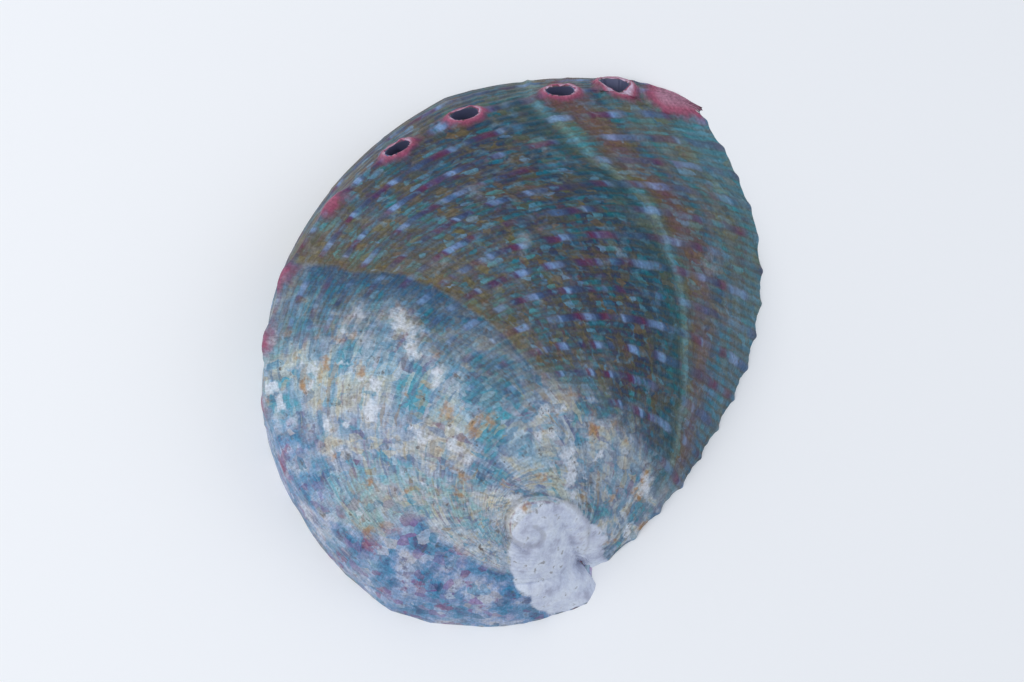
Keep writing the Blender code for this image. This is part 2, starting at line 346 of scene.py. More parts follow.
# Raised rims of the open holes, low knobs where older ones closed
holeGlow = np.zeros(turnGrid.shape)
holeFrames = []
for turn, tilt, outset in holes["open"] + holes["closed"]:
    here, ahead = planAt(turn, 1.0), planAt(turn - 2.0, 1.0)
    alongRow = np.array([*(ahead - here), 0.0])
    alongRow /= np.linalg.norm(alongRow)
    out = np.array([*(here - summitPoint), 0.0])
    out -= alongRow * (out @ alongRow)
    out /= np.linalg.norm(out)
    tilt = math.radians(tilt)
    axis = out * math.sin(tilt) + np.array([0, 0, math.cos(tilt)])
    across = np.cross(axis, alongRow)
    rowZ = coil["height"] * float(along(turn, "rowHeights"))
    centre = settle(np.array([*(here + outset * out[:2]), rowZ * (1 - 150 * outset)]))
    size = math.exp(-widening * math.radians(turn) * 0.45)
    arm = strip - centre
    ring = np.hypot((arm @ alongRow) / (holes["length"] * size / 2),
                    (arm @ across) / (holes["width"] * size / 2))
    if turn > 50:
        fade = math.exp(-(turn - 54.0) / 60)
        bump = 1.7 * np.exp(-((ring / 1.25) ** 2)) - 0.45 * np.exp(-((ring / 0.5) ** 2))
        height += holes["lip"] * bump * (0.5 + 0.5 * fade)
        holeGlow = np.maximum(holeGlow, (0.40 + 0.35 * fade) * np.exp(-((ring / 1.5) ** 2)))
    else:
        bump = np.exp(-(((ring - 1.22) / 0.34) ** 2)) + 0.5 * np.exp(-((ring / 2.4) ** 2))
        height += holes["lip"] * bump
        holeGlow = np.maximum(holeGlow, np.exp(-(np.maximum(ring - 1.12, 0.0) / 0.50) ** 1.1))
        holeFrames.append((centre, alongRow, across, axis, size))

normals = surfaceNormals(smoothStrip)
strip = strip + normals * height[..., None]
scallop = relief["lipScallop"] * (strong[0] - 0.3) + 0.0004 * noiseAt(smoothStrip[0], 0.006, 5.0)
lipOut = np.gradient(smoothStrip[0, :, :2], axis=0)
lipOut = np.stack([lipOut[:, 1], -lipOut[:, 0]], -1)
lipOut /= np.linalg.norm(lipOut, axis=1, keepdims=True)
fromInside = smoothStrip[0, :, :2] - smoothStrip[40, :, :2]
lipOut *= np.where((lipOut * fromInside).sum(1) < 0, -1.0, 1.0)[:, None]
for row in range(8):
    strip[row, :, :2] += lipOut * (scallop * (1 - row / 8))[:, None]
strip[..., 2] = np.maximum(strip[..., 2], 0.0)
strip[0, :, 2] = 0.0
strip[:, -1, 2] = 0.0
strip[-1, meshSteps["lip"]:] = strip[0, 0]  # the coil ends where the lip starts
print("outer strip", strip.shape)

# Previous coils and the tip of the spire, rings closing from the suture to the apex
lipEnd = meshSteps["lip"]
loop = np.concatenate([smoothStrip[:, 0], smoothStrip[-1, 1:lipEnd]])
loopReal = np.concatenate([strip[:, 0], strip[-1, 1:lipEnd]])
flatStrip = planAt(turnGrid[:, :1], np.zeros((len(turns), 1)))[:, 0]
flatEnd = planAt(np.full(lipEnd - 1, coilTurn), stationGrid[-1, 1:lipEnd])
flatLoop = np.concatenate([flatStrip, flatEnd])
flatLoop[0] = planAt(lipTurn(0.0, 0.0), 0.0)
ringShare = np.linspace(0.0, 1.0, spire["rings"] + 1)[:, None, None] ** 0.9
spirePlan = flatLoop[None] * (1 - ringShare) + apexPoint * ringShare
spireZ = domeAt(spirePlan) - grooveAt(spirePlan)
spireGrid = settle(np.concatenate([spirePlan, np.maximum(spireZ, 0.0)[..., None]], -1))
spireGrid += (loopReal - spireGrid[0])[None] * np.maximum(1 - ringShare * 3.0, 0.0)
rough = noiseAt(spireGrid, 0.0045, 2.2, 3)
spireGrid[1:, :, 2] += (0.00022 * rough * np.minimum(ringShare[..., 0] * 8, 1.0))[1:]
spireGrid[0] = loopReal
spireGrid = np.concatenate([spireGrid, spireGrid[:, :1]], axis=1)

# The bowl inside: rings of points from the rim to under the summit
bowl = {
    "wall": 0.0024,
    "rimWall": 0.0012,
    "shelfWidth": 0.0085,
    "shelfRise": 0.0016,
    "shelfShares": (0.0, 0.15, 0.55, 0.95, 1.0, 1.0, 1.0, 1.0, 0.85, 0.6, 0.3, 0.1, 0.0),
    "scar": (0.004, -0.004, 0.019, 0.023),  # centre and half sizes of the muscle's mark
}
rimLoop = np.concatenate([strip[0, :-1], strip[:-1, -1]])
rimTurns = np.concatenate([np.zeros(strip.shape[1] - 1), turns[:-1]])
smoothRim = np.concatenate([smoothStrip[0, :-1], smoothStrip[:-1, -1]])
tangent = np.roll(smoothRim, -1, 0)[:, :2] - np.roll(smoothRim, 1, 0)[:, :2]
centre = settle(np.array([*summitPoint, coil["height"]]))
inward = np.stack([-tangent[:, 1], tangent[:, 0]], -1)
inward /= np.maximum(np.linalg.norm(inward, axis=1, keepdims=True), 1e-9)
inward *= np.where((inward * (centre[:2] - smoothRim[:, :2])).sum(1) < 0, -1.0, 1.0)[:, None]
innerRim = rimLoop[:, :2] + inward * bowl["rimWall"]
shelf = bowl["shelfWidth"] * np.interp(rimTurns, coil["rowTurns"], bowl["shelfShares"])
run = np.linalg.norm(centre[:2] - innerRim, axis=1)


def sheetFaces(rows, columns):
    i, j = np.meshgrid(np.arange(rows - 1), np.arange(columns - 1), indexing="ij")
    first = (i * columns + j).ravel()
    return np.stack([first, first + 1, first + columns + 1, first + columns], -1)


roofPoints = np.concatenate([smoothStrip.reshape(-1, 3), spireGrid.reshape(-1, 3)])
roofFaces = np.concatenate([sheetFaces(*smoothStrip.shape[:2]),
                            sheetFaces(*spireGrid.shape[:2]) + smoothStrip[..., 0].size])
roofTree = BVHTree.FromPolygons([Vector(p) for p in roofPoints], roofFaces.tolist())


def roofAt(x, y):
    low = coil["height"]
    step = bowl["wall"]
    for dx, dy in ((0, 0), (step, 0), (-step, 0), (0, step), (0, -step)):
        hit = roofTree.ray_cast(Vector((x + dx, y + dy, 1.0)), Vector((0, 0, -1)))[0]
        low = min(low, hit.z if hit else 0.0)
    return low


rings = meshSteps["bowlRings"]
bowlGrid = [rimLoop, np.concatenate([innerRim, np.zeros((len(innerRim), 1))], 1)]
for ring in range(1, rings):
    if ring < 12:
        gone = (shelf + 0.0036) * (ring / 12)
    else:
        gone = (shelf + 0.0036) + (run - shelf - 0.0036) * ((ring - 12) / (rings - 12)) ** 1.1
    plan = innerRim + (centre[:2] - innerRim) * (gone / run)[:, None]
    roof = np.array([roofAt(x, y) for x, y in plan]) - bowl["wall"] * 1.12 - 0.0004
    direct = np.array([roofTree.ray_cast(Vector((x, y, 1.0)), Vector((0, 0, -1)))[0] or Vector()
                       for x, y in plan])[:, 2]
    ledge = bowl["shelfRise"] * np.minimum(gone / (shelf + 0.001), 1.0)
    rise = np.maximum(gone - shelf, 0.0)
    z = np.minimum(roof, ledge + 6.0 * rise**1.6 / (rise + 0.0012) ** 0.6)
    z = np.maximum(z, np.minimum(0.00012 * ring, 0.4 * direct))
    bowlGrid.append(np.concatenate([plan, z[:, None]], 1))
bowlTop = [centre[0], centre[1], coil["height"] - bowl["wall"] * 1.12 - 0.0004]
bowlGrid.append(np.tile(bowlTop, (len(rimLoop), 1)))
bowlGrid = np.array(bowlGrid)
# Even out the bowl along and across its rings, but not its shelf and rim
for _ in range(3):
    z = bowlGrid[..., 2]
    even = (np.roll(z, 1, 1) + np.roll(z, -1, 1)) / 2
    even[13:-1] = (even[13:-1] * 2 + z[12:-2] + z[14:]) / 4
    bowlGrid[13:-1, :, 2] = np.minimum(even, z)[13:-1] * 0.9 + z[13:-1] * 0.1
scarX, scarY, scarA, scarB = bowl["scar"]
inScar = np.hypot((bowlGrid[..., 0] - scarX) / scarA, (bowlGrid[..., 1] - scarY) / scarB)
inScar += 0.10 * noiseAt(bowlGrid, 0.008, 4.4)
scarMark = smooth((1.08 - inScar) / 0.16)
bowlGrid[13:-1, :, 2] -= (0.00035 * scarMark * (1 + 0.5 * noiseAt(bowlGrid, 0.003, 9.9)))[13:-1]
bowlGrid = np.concatenate([bowlGrid, bowlGrid[:, :1]], axis=1)
scarMark = np.concatenate([scarMark, scarMark[:, :1]], axis=1)
print("bowl", bowlGrid.shape)


def addSheet(name, points, maps, slot):
    # A flat grid, bent to its points, with a map of two values and some named amounts
    bpy.ops.object.select_all(action="DESELECT")
    rows, columns = points.shape[:2]
    bpy.ops.mesh.primitive_grid_add(x_subdivisions=columns - 1, y_subdivisions=rows - 1, size=2.0)
    sheet = bpy.context.object
    sheet.name = name
    mesh = sheet.data
    flat = np.empty(len(mesh.vertices) * 3)
    mesh.vertices.foreach_get("co", flat)
    flat = flat.reshape(-1, 3)
    column = np.rint((flat[:, 0] + 1) / 2 * (columns - 1)).astype(int)
    row = np.rint((flat[:, 1] + 1) / 2 * (rows - 1)).astype(int)
    mesh.vertices.foreach_set("co", points[row, column].ravel())
    growth = mesh.uv_layers[0]
    growth.name = "growth"
    corner = np.empty(len(mesh.loops), int)
    mesh.loops.foreach_get("vertex_index", corner)
    growth.data.foreach_set("uv", maps["growth"][row, column][corner].ravel())
    for key, values in maps.items():
        if key != "growth":
            mesh.attributes.new(key, "FLOAT", "POINT").data.foreach_set("value", values[row, column])
    for material in shellMaterials:
        mesh.materials.append(material)
    mesh.polygons.foreach_set("material_index", np.full(len(mesh.polygons), slot))
    return sheet


# The third material is for the cut walls of the holes and carries painted shade
shellMaterials = [bpy.data.materials.new(name) for name in
                  ("wornShellCalcite", "bowlNacre", "holeLiningPaintedShade")]
for material in shellMaterials:
    material.use_nodes = True

wornSpire = np.ones(spireGrid.shape[:2])
inwards = np.linspace(0.0, 3.0, wornSpire.shape[0])[:, None].repeat(wornSpire.shape[1], 1)
tipMap = np.stack([np.full(wornSpire.shape, coilTurn / 10), -inwards], -1)


def bareAt(points):
    gap = points[..., :2] - settledApex - spire["bareShift"]
    uneven = spire["bareRadius"] + 0.0014 * noiseAt(points, 0.006, 1.3)
    return smooth((uneven - np.hypot(gap[..., 0], gap[..., 1])) / 0.004)


lastBare = 0.85 * smooth((turnGrid - 236) / 22) * smooth((cordIndex - 0.5) / 2)
bare = np.maximum(bareAt(strip), lastBare)
coral = smooth((turnGrid - 140) / 26) * smooth((cordIndex - 7.0) / 4)
coral = np.maximum(coral, 0.7 * smooth((turnGrid - 98) / 16) * smooth((cordIndex - 13.4) / 2.5))
frontGlow = 0.85 * smooth((8.0 - turnGrid) / 4) * smooth((cordIndex - 15.4) / 1.3)
stripSeam = np.zeros(worn.shape)
stripSeam[:, :lipEnd + 1] = np.minimum(seamDepth / 0.0006, 1.0)
outer = addSheet("outerStrip", strip, {
    "growth": np.stack([growthTurn / 10, cordIndex], -1),
    "worn": worn, "holeGlow": np.maximum(holeGlow, frontGlow), "scar": stripSeam,
    "bare": bare, "coral": coral}, 0)
zeros = np.zeros(wornSpire.shape)
tipSeam = np.minimum(grooveAt(spirePlan) / 0.0006, 1.0)
tipSeam = np.concatenate([tipSeam, tipSeam[:, :1]], axis=1)
tip = addSheet("spireSheet", spireGrid, {
    "growth": tipMap, "worn": wornSpire, "holeGlow": zeros, "scar": tipSeam,
    "bare": bareAt(spireGrid), "coral": zeros}, 0)
zeros = np.zeros(bowlGrid.shape[:2])
ringTurns, ringCords = np.meshgrid(np.linspace(0, 1, bowlGrid.shape[1]) * 27,
                                   np.linspace(0, 1, bowlGrid.shape[0]) * 17)
ringMap = np.stack([ringTurns, ringCords], -1)
inner = addSheet("bowlSheet", bowlGrid, {
    "growth": ringMap, "worn": zeros, "holeGlow": zeros, "scar": scarMark,
    "bare": zeros, "coral": zeros}, 1)

bpy.ops.object.select_all(action="DESELECT")
for sheet in (outer, tip, inner):
    sheet.select_set(True)
bpy.context.view_layer.objects.active = outer
bpy.ops.object.join()
shell = bpy.context.object
shell.name = "abalone_shell_skin"
bpy.ops.object.mode_set(mode="EDIT")
bpy.ops.mesh.select_all(action="SELECT")
bpy.ops.mesh.remove_doubles(threshold=0.000002)
bpy.ops.mesh.dissolve_degenerate(threshold=0.0000005)
bpy.ops.mesh.select_all(action="SELECT")
bpy.ops.mesh.normals_make_consistent(inside=False)
bpy.ops.mesh.select_all(action="DESELECT")
bpy.ops.mesh.select_non_manifold()
bpy.ops.object.mode_set(mode="OBJECT")
print("shell faces", len(shell.data.polygons), "loose edges",
      sum(edge.select for edge in shell.data.edges))

# The open holes go right through the wall
cutters = []
for holeCentre, alongRow, across, axis, size in holeFrames:
    bpy.ops.object.select_all(action="DESELECT")
    bpy.ops.mesh.primitive_cylinder_add(vertices=40, radius=0.5, depth=0.020)
    cutter = bpy.context.object
    place = Matrix((Vector(alongRow), Vector(across), Vector(axis))).transposed().to_4x4()
    place.translation = Vector(holeCentre - 0.004 * axis)
    cutter.data.transform(place @ Matrix.Diagonal(
        (holes["length"] * size, holes["width"] * size, 1.0, 1.0)))
    for material in shellMaterials:
        cutter.data.materials.append(material)
    # The cut walls take the third material, coloured dark as painted shade for the inside of the
    # holes
    cutter.data.polygons.foreach_set("material_index", np.full(len(cutter.data.polygons), 2))
    cutters.append(cutter)
bpy.ops.object.select_all(action="DESELECT")
for cutter in cutters:
    cutter.select_set(True)
bpy.context.view_layer.objects.active = cutters[0]
bpy.ops.object.join()
bore = bpy.context.object
bpy.ops.object.select_all(action="DESELECT")
bpy.context.view_layer.objects.active = shell
shell.select_set(True)
cut = shell.modifiers.new("holes", "BOOLEAN")
cut.operation = "DIFFERENCE"
cut.solver = "EXACT"
cut.object = bore
bpy.ops.object.modifier_apply(modifier="holes")
bpy.data.objects.remove(bore, do_unlink=True)
print("shell after holes", len(shell.data.polygons))

# Into the frame: the same box as the CAD shell
low, high = (np.array(side) for side in cadBox)
co = np.empty(len(shell.data.vertices) * 3)
shell.data.vertices.foreach_get("co", co)
co = co.reshape(-1, 3)
co[:, :2] += (low + high)[:2] / 2 - (co.min(0) + co.max(0))[:2] / 2
shell.data.vertices.foreach_set("co", co.ravel())
bpy.ops.object.select_all(action="DESELECT")
shell.select_set(True)
bpy.context.view_layer.objects.active = shell
bpy.ops.object.shade_smooth_by_angle(angle=math.radians(48))
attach(shell, "root")
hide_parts("abalone_shell")


# Materials
def linear(code):
    parts = [int(code[i:i + 2], 16) / 255 for i in (1, 3, 5)]
    return tuple(c / 12.92 if c <= 0.04045 else ((c + 0.055) / 1.055) ** 2.4 for c in parts) + (1.0,)


def addNode(tree, kind, inputs=None, **settings):
    # Adds a node, sets it, and fills its inputs with values or links
    node = tree.nodes.new("ShaderNode" + kind)
    for key, value in settings.items():
        setattr(node, key, value)
    for key, value in (inputs or {}).items():
        if isinstance(value, bpy.types.NodeSocket):
            tree.links.new(value, node.inputs[key])
        elif isinstance(value, str):
            node.inputs[key].default_value = linear(value)
        else:
            node.inputs[key].default_value = value
    return node


# Shell calcite, grown in layers under a skin and then worn: matt, banded along the old lips,
# flecked along its cords with teal, olive and maroon, and rubbed pale where it is oldest
calcite = {
    "bands": ((0.0, "#4C8690"), (2.0, "#5A8C98"), (4.0, "#5E6A62"), (6.0, "#4C7A80"),
              (8.4, "#2E6880"), (10.2, "#4A5258"), (12.4, "#6E5C54"), (14.6, "#5E5242"),
              (15.9, "#4A5A56"), (16.6, "#7C9A9E"), (17.3, "#3E5C4C"), (19.0, "#2A5258"),
              (23.0, "#1F4C62"), (27.0, "#2C4054"), (31.0, "#323C52"), (36.0, "#424856"),
              (42.0, "#48505A"), (50.0, "#5A5F64"), (58.0, "#666868"), (64.5, "#6A685A"),
              (67.3, "#6A6450"), (68.4, "#3E5C7A"), (75.0, "#507492"), (83.0, "#7288A0"),
              (120.0, "#8496AE")),
    "patches": ((0.38, "#127C80"), (0.44, "#235F72"), (0.48, "#28344E"), (0.52, "#3C3650"),
                (0.56, "#4E4C30"), (0.61, "#7C6A3E"), (0.68, "#5A3A3C")),
    "flecks": ((0.0, "#12787E"), (0.16, "#3A7C98"), (0.30, "#222A48"), (0.44, "#5C6438"),
               (0.58, "#7E683E"), (0.70, "#4A2C48"), (0.82, "#549A9E"), (1.0, "#86A8CC")),
    "dashes": ((0.0, "#8CA6CC"), (0.14, "#7F97C0"), (0.24, "#54406A"), (0.34, "#5E2C4A"),
               (0.50, "#482E54"), (0.64, "#384060"), (0.90, "#51688C"), (1.0, "#8EA3CC")),
    "restTone": ((0.0, "#7AA0AC"), (2.5, "#6A7C74"), (12.6, "#7C545A"), (15.0, "#66564A"),
                 (16.2, "#6E9096"), (17.1, "#8CACB4"), (18.4, "#1F4C54"), (27.0, "#2A3E50"),
                 (40.0, "#2E3C58"), (52.0, "#586C84"), (64.6, "#6C6450"), (67.2, "#726850"),
                 (68.2, "#3A5674"), (74.0, "#4A6C88"), (92.0, "#5E9AAE"), (108.0, "#5C6E90"),
                 (129.8, "#C8CCD0"), (131.4, "#45465A"), (133.5, "#CFCDBF")),
    "restShow": ((0.0, 0.30), (1.6, 0.0), (2.1, 0.35), (3.2, 0.05), (5.2, 0.45), (6.4, 0.05),
                 (7.6, 0.45), (8.8, 0.05), (11.6, 0.24), (14.6, 0.34), (16.2, 0.10), (16.75, 0.34),
                 (17.1, 0.20), (19.0, 0.45), (24.5, 0.15), (25.2, 0.45), (27.5, 0.10), (38.5, 0.08),
                 (40.0, 0.42), (42.5, 0.05), (51.0, 0.05), (52.0, 0.30), (54.0, 0.05), (62.0, 0.15),
                 (66.8, 0.34), (67.8, 0.50), (72.0, 0.40), (78.0, 0.10), (90.0, 0.10), (92.0, 0.40),
                 (95.0, 0.05), (108.0, 0.30), (112.0, 0.0), (130.2, 0.15), (131.3, 0.70),
                 (132.8, 0.55), (138.0, 0.0)),
    "wornBands": ((60.0, "#7C8A98"), (70.0, "#7C8C9C"), (84.0, "#8296AA"), (98.0, "#7CACBE"),
                  (112.0, "#8C9CB6"), (127.0, "#8C98B4"), (132.0, "#D2D8E2"), (142.0, "#E8DFC8"),
                  (158.0, "#DEDBD0"), (176.0, "#CAD6E4"), (200.0, "#D2DAEA"), (230.0, "#DEE6F6")),
    "wornFlecks": ((0.0, "#3E5478"), (0.14, "#5AA2BC"), (0.28, "#8AA4BC"), (0.42, "#CDD8E6"),
                   (0.56, "#C8C2A6"), (0.68, "#8C7248"), (0.78, "#5C84AC"), (0.90, "#744466"),
                   (1.0, "#DCE2EA")),
    "wornPatches": ((0.34, "#38527C"), (0.42, "#50A8B8"), (0.48, "#8494AC"), (0.54, "#BCCAD8"),
                    (0.61, "#DED6BC"), (0.67, "#94764A"), (0.74, "#524E66")),
    "lipBlue": "#5C86A4",
    "furrow": "#4C432A",
    "beads": "#6C9AB4",
    "wornFurrow": "#5E5E6E",
    "ochre": "#A97C48",
    "crusts": "#D6DCE6",
    "coral": ((0.36, "#3C4878"), (0.43, "#4C86AC"), (0.50, "#7E9AC0"), (0.56, "#A9B6D2"),
              (0.63, "#C4C8D4")),
    "coralCells": ((0.0, "#2E3662"), (0.18, "#4A90B0"), (0.34, "#8FA6CC"), (0.50, "#D2D8E6"),
                   (0.62, "#A8A2A0"), (0.74, "#7C4C8C"), (0.88, "#6E2C58"), (1.0, "#8E6AA6")),
    "stains": ((140.0, 0.58, 0.64, "#7A3468"), (115.0, 0.60, 0.66, "#34386A")),
    "bare": ((0.34, "#B4B8CA"), (0.45, "#CDD3E4"), (0.60, "#DEE4F0")),
    "pits": "#574C44",
    "rim": ((0.0, "#6E4A60"), (0.45, "#8C4E66"), (0.72, "#A8687C"), (0.90, "#B890A2"),
            (1.0, "#CBB8CC")),
    "roughness": 0.50,
    "specular": 0.32,
}


def setRamp(node, stops):
    ramp = node.color_ramp
    while len(ramp.elements) < len(stops):
        ramp.elements.new(0.5)
    for element, (at, code) in zip(ramp.elements, stops):
        element.position = at
    for element, (at, code) in zip(ramp.elements, stops):
        element.color = linear(code) if isinstance(code, str) else (code, code, code, 1.0)
    return node.outputs[0]


tree = shellMaterials[0].node_tree
surface = tree.nodes["Principled BSDF"]
growth = addNode(tree, "UVMap", uv_map="growth").outputs[0]
spot = addNode(tree, "TexCoord").outputs["Object"]
split = addNode(tree, "SeparateXYZ", {0: growth})
turnValue, cordValue = split.outputs[0], split.outputs[1]
wornValue, glowValue, bareValue, coralValue, seamValue = (
    addNode(tree, "Attribute", attribute_name=key).outputs["Fac"]
    for key in ("worn", "holeGlow", "bare", "coral", "scar"))

# Bands along the old lips, their edges a little uneven
drift = addNode(tree, "TexNoise", {"Vector": spot, "Scale": 110.0, "Detail": 5.0}).outputs[0]
drift = addNode(tree, "MapRange", {"Value": drift, "To Min": -0.15, "To Max": 0.15}).outputs[0]
bandTurn = addNode(tree, "Math", {0: turnValue, 1: drift}, operation="ADD").outputs[0]
bandShare = addNode(tree, "Math", {0: bandTurn, 1: 12.0}, operation="DIVIDE").outputs[0]
bands = setRamp(addNode(tree, "ValToRGB", {0: bandShare}),
                [(turn / 120.0, code) for turn, code in calcite["bands"]])

# Patches about 9 mm across, then flecks of about 3 by 2 mm that sit on the fine cords
patch = addNode(tree, "Mapping", {"Vector": growth, "Scale": (2.1, 0.95, 1.0)}).outputs[0]
patch = addNode(tree, "TexNoise", {
    "Vector": patch, "Scale": 1.0, "Detail": 6.0, "Roughness": 0.66}).outputs[0]
patches = setRamp(addNode(tree, "ValToRGB", {0: patch}), calcite["patches"])
base = addNode(tree, "Mix", {0: 0.50, 6: bands, 7: patches}, data_type="RGBA").outputs[2]
bend = addNode(tree, "TexNoise", {"Vector": spot, "Scale": 420.0, "Detail": 3.0}).outputs["Color"]
bend = addNode(tree, "MapRange", {
    6: bend, 9: (-0.14, -0.14, 0.0), 10: (0.14, 0.14, 0.0)}, data_type="FLOAT_VECTOR").outputs[1]
bentGrowth = addNode(tree, "VectorMath", {0: growth, 1: bend}, operation="ADD").outputs[0]
fleckPlace = addNode(tree, "Mapping", {"Vector": bentGrowth, "Scale": (5.6, 4.0, 1.0)}).outputs[0]
fleck = addNode(tree, "TexVoronoi", {"Vector": fleckPlace, "Scale": 1.0}).outputs["Color"]
fleck = addNode(tree, "SeparateColor", {0: fleck})
fleckChance, fleckShow = fleck.outputs[0], fleck.outputs[1]
flecks = setRamp(addNode(tree, "ValToRGB", {0: fleckChance}), calcite["flecks"])
fleckShow = addNode(tree, "MapRange", {
    "Value": fleckShow, "From Min": 0.35, "From Max": 1.0, "To Max": 0.62}).outputs[0]
base = addNode(tree, "Mix", {0: fleckShow, 6: base, 7: flecks}, data_type="RGBA").outputs[2]

# The young lip is bluer towards the suture
nearLip = addNode(tree, "MapRange", {
    "Value": bandTurn, "From Min": 1.7, "From Max": 0.9}).outputs[0]
nearSeam = addNode(tree, "MapRange", {
    "Value": cordValue, "From Min": 11.5, "From Max": 7.5, "To Max": 0.34}).outputs[0]
blueShow = addNode(tree, "Math", {0: nearLip, 1: nearSeam}, operation="MULTIPLY").outputs[0]
base = addNode(tree, "Mix", {
    0: blueShow, 6: base, 7: calcite["lipBlue"]}, data_type="RGBA").outputs[2]

# Four fine cords to each strong one, about 2 mm apart at the lip, their furrows dark olive
cordJog = addNode(tree, "TexNoise", {"Vector": spot, "Scale": 200.0, "Detail": 3.0}).outputs[0]
cordJog = addNode(tree, "MapRange", {"Value": cordJog, "To Min": -0.09, "To Max": 0.09}).outputs[0]
cordPlace = addNode(tree, "Math", {0: cordValue, 1: cordJog}, operation="ADD").outputs[0]
fineAngle = addNode(tree, "Math", {0: cordPlace, 1: math.tau * 4}, operation="MULTIPLY").outputs[0]
fineWave = addNode(tree, "Math", {0: fineAngle}, operation="COSINE").outputs[0]
furrow = addNode(tree, "MapRange", {
    "Value": fineWave, "From Min": 0.2, "From Max": -1.0, "To Max": 0.55}).outputs[0]
base = addNode(tree, "Mix", {0: furrow, 6: base, 7: calcite["furrow"]}, data_type="RGBA").outputs[2]

# Dashes on the strong cords: each cord has its own run of them, broken in places
cordNumber = addNode(tree, "Math", {0: cordValue}, operation="ROUND").outputs[0]
cordGap = addNode(tree, "Math", {0: cordPlace, 1: cordNumber}, operation="SUBTRACT").outputs[0]
cordGap = addNode(tree, "Math", {0: cordGap}, operation="ABSOLUTE").outputs[0]
onCord = addNode(tree, "MapRange", {
    "Value": cordGap, "From Min": 0.19, "From Max": 0.07},
    interpolation_type="SMOOTHSTEP").outputs[0]
cordChance = addNode(tree, "TexWhiteNoise", {"W": cordNumber}, noise_dimensions="1D").outputs[0]
runPoint = addNode(tree, "CombineXYZ", {0: turnValue, 1: cordNumber}).outputs[0]
runJog = addNode(tree, "TexNoise", {"Vector": runPoint, "Scale": 1.1, "Detail": 3.0}).outputs[0]
runStart = addNode(tree, "Math", {
    0: runJog, 1: 2.0, 2: cordChance}, operation="MULTIPLY_ADD").outputs[0]
runPlace = addNode(tree, "Math", {
    0: turnValue, 1: 1.05, 2: runStart}, operation="MULTIPLY_ADD").outputs[0]
runShare = addNode(tree, "Math", {0: runPlace}, operation="FRACT").outputs[0]
dashes = setRamp(addNode(tree, "ValToRGB", {0: runShare}), calcite["dashes"])
runPatch = addNode(tree, "TexNoise", {"Vector": runPoint, "Scale": 2.7, "Detail": 2.0}).outputs[0]
runPatch = addNode(tree, "MapRange", {
    "Value": runPatch, "From Min": 0.40, "From Max": 0.56, "To Min": 0.12,
    "To Max": 0.95}).outputs[0]
onDash = addNode(tree, "Math", {0: onCord, 1: runPatch}, operation="MULTIPLY").outputs[0]
base = addNode(tree, "Mix", {0: onDash, 6: base, 7: dashes}, data_type="RGBA").outputs[2]

# Pale beads along the fine cords
beadPlace = addNode(tree, "Mapping", {
    "Vector": bentGrowth, "Scale": (5.0, 3.2, 1.0), "Location": (0.0, 0.5, 0.0)}).outputs[0]
bead = addNode(tree, "TexNoise", {"Vector": beadPlace, "Scale": 1.0, "Detail": 1.0}).outputs[0]
bead = addNode(tree, "MapRange", {
    "Value": bead, "From Min": 0.58, "From Max": 0.74, "To Max": 0.42}).outputs[0]
base = addNode(tree, "Mix", {0: bead, 6: base, 7: calcite["beads"]}, data_type="RGBA").outputs[2]

# Where growth paused: a line or a band of its own colour along each old lip
restShare = addNode(tree, "Math", {0: bandTurn, 1: 14.0}, operation="DIVIDE").outputs[0]
restParts = []
for stops in (calcite["restTone"], calcite["restShow"]):
    for first in range(0, len(stops), 24):
        part = stops[first:first + 25]
        restParts.append(setRamp(addNode(tree, "ValToRGB", {0: restShare}),
                                 [(turn / 140.0, tone) for turn, tone in part]))
restLate = addNode(tree, "Math", {
    0: restShare, 1: calcite["restShow"][24][0] / 140.0}, operation="GREATER_THAN").outputs[0]
restShow = addNode(tree, "Mix", {
    0: restLate, 6: restParts[1], 7: restParts[2]}, data_type="RGBA").outputs[2]
restShow = addNode(tree, "SeparateColor", {0: restShow}).outputs[0]
lessRest = addNode(tree, "Math", {0: 1.0, 1: blueShow}, operation="SUBTRACT").outputs[0]
restShow = addNode(tree, "Math", {0: restShow, 1: lessRest}, operation="MULTIPLY").outputs[0]
base = addNode(tree, "Mix", {0: restShow, 6: base, 7: restParts[0]}, data_type="RGBA").outputs[2]

# Rubbed pale where old, still flecked along and across the cords and banded along the old lips,
# with ochre, white crusts and dark pits
wornShare = addNode(tree, "Math", {0: bandTurn, 1: 24.0}, operation="DIVIDE").outputs[0]
wornColour = setRamp(addNode(tree, "ValToRGB", {0: wornShare}),
                     [(turn / 240.0, code) for turn, code in calcite["wornBands"]])
wornPatch = addNode(tree, "TexNoise", {
    "Vector": spot, "Scale": 88.0, "Detail": 7.0, "Roughness": 0.62, "Distortion": 0.5}).outputs[0]
wornPatches = setRamp(addNode(tree, "ValToRGB", {0: wornPatch}), calcite["wornPatches"])
wornColour = addNode(tree, "Mix", {
    0: 0.62, 6: wornColour, 7: wornPatches}, data_type="RGBA").outputs[2]
for stretch, most in (((4.4, 1.5, 1.0), 0.62), ((1.6, 5.2, 1.0), 0.50)):
    stroke = addNode(tree, "Mapping", {"Vector": bentGrowth, "Scale": stretch}).outputs[0]
    stroke = addNode(tree, "TexVoronoi", {"Vector": stroke, "Scale": 1.0}).outputs["Color"]
    stroke = addNode(tree, "SeparateColor", {0: stroke})
    strokeShow = addNode(tree, "MapRange", {
        "Value": stroke.outputs[1], "From Min": 0.30, "From Max": 1.0, "To Max": most}).outputs[0]
    wornFlecks = setRamp(addNode(tree, "ValToRGB", {0: stroke.outputs[0]}), calcite["wornFlecks"])
    wornColour = addNode(tree, "Mix", {
        0: strokeShow, 6: wornColour, 7: wornFlecks}, data_type="RGBA").outputs[2]
wornFurrow = addNode(tree, "Math", {0: furrow, 1: 0.20}, operation="MULTIPLY").outputs[0]
wornColour = addNode(tree, "Mix", {
    0: wornFurrow, 6: wornColour, 7: calcite["wornFurrow"]}, data_type="RGBA").outputs[2]
